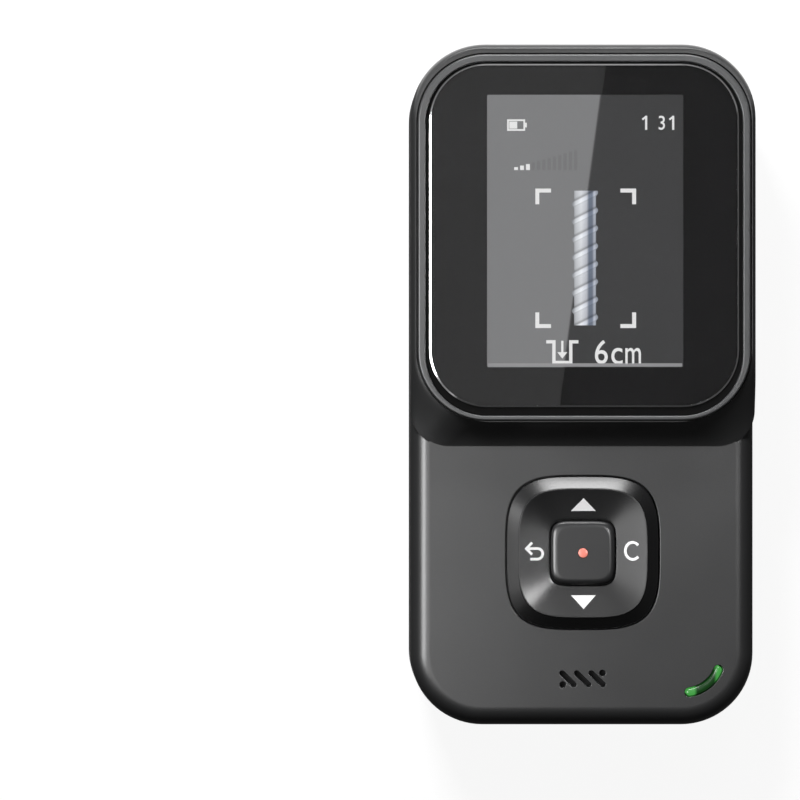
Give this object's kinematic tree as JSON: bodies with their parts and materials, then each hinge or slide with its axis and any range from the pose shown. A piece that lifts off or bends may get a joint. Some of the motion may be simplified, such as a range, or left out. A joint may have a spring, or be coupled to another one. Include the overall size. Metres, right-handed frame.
{
  "type": "wall scanner",
  "caption": "Handheld wall scanner with a raised display head, coved keypad panel, four-way pad, centre button, sound grille and sliding battery door.",
  "frame": {"origin": "middle of the footprint, on the surface that the scanner lies on", "axes": "+X to the scanner's right, +Y towards the display end, +Z out of the front"},
  "size_m": [0.066, 0.13, 0.03],
  "materials": {
    "shell_plastic": "fine satin texture, dark grey",
    "back_plastic": "fine moulded texture, near black",
    "bezel_plastic": "smooth satin, dark grey",
    "key_plastic": "smooth satin, dark grey",
    "inner_plastic": "plain black moulding",
    "lens_glass": "polished, printed black around the display",
    "foam": "matt black foam",
    "rubber": "matt silicone",
    "display": "grey backlit display",
    "green_light": "clear green light guide",
    "red_light": "clear red light guide",
    "lamp": "clear lamp body",
    "circuit_board": "green solder mask",
    "flex_film": "amber film",
    "steel": "plated steel",
    "spring_steel": "bright spring steel",
    "copper": "enamelled copper winding",
    "cell_sleeve": "plain printed sleeve",
    "felt": "low-pile felt"
  },
  "bodies": {
    "housing": {"front_shell": "shell_plastic", "rear_shell": "back_plastic", "head_bezel": "bezel_plastic", "display_lens": "lens_glass", "lens_gasket": "foam", "display_module": "display", "display_tray": "inner_plastic", "display_flex": "flex_film", "keypad_mat": "rubber", "switch_up": "steel", "switch_down": "steel", "switch_left": "steel", "switch_right": "steel", "switch_centre": "steel", "status_light": "green_light", "status_lamp": "lamp", "buzzer": "inner_plastic", "buzzer_seal": "foam", "speaker_cloth": "felt", "main_board": "circuit_board", "shield_can": "steel", "sensor_board": "circuit_board", "coil_former": "inner_plastic", "search_coil": "copper", "battery_1": "cell_sleeve", "battery_spring_1": "spring_steel", "contact_plate_1": "spring_steel", "battery_2": "cell_sleeve", "battery_spring_2": "spring_steel", "contact_plate_2": "spring_steel", "battery_3": "cell_sleeve", "battery_spring_3": "spring_steel", "contact_plate_3": "spring_steel", "case_screw_1": "steel", "board_screw_1": "steel", "wear_pad_1": "felt", "case_screw_2": "steel", "board_screw_2": "steel", "wear_pad_2": "felt", "case_screw_3": "steel", "board_screw_3": "steel", "wear_pad_3": "felt", "case_screw_4": "steel", "board_screw_4": "steel", "wear_pad_4": "felt"},
    "pad_carrier": {"pad_carrier": "inner_plastic"},
    "nav_pad": {"nav_pad": "key_plastic"},
    "centre_button": {"centre_button": "key_plastic", "button_light": "red_light"},
    "battery_door": {"battery_door": "back_plastic"}
  },
  "joints": [
    {"name": "pad_tilt_fore_aft", "type": "hinge", "parent": "housing", "child": "pad_carrier", "pos_m": [0, -0.0317, 0.02075], "axis": [1, 0, 0], "range_deg": [-1.5, 1.5], "stiffness_Nm_per_rad": 0.5},
    {"name": "pad_tilt_side", "type": "hinge", "parent": "pad_carrier", "child": "nav_pad", "pos_m": [0, -0.0317, 0.02075], "axis": [0, 1, 0], "range_deg": [-1.5, 1.5], "stiffness_Nm_per_rad": 0.5},
    {"name": "button_press", "type": "slide", "parent": "housing", "child": "centre_button", "axis": [0, 0, -1], "range_m": [0, 0.00035], "stiffness_N_per_m": 2000},
    {"name": "door_slide", "type": "slide", "parent": "housing", "child": "battery_door", "axis": [0, -1, 0], "range_m": [0, 0.055]}
  ]
}
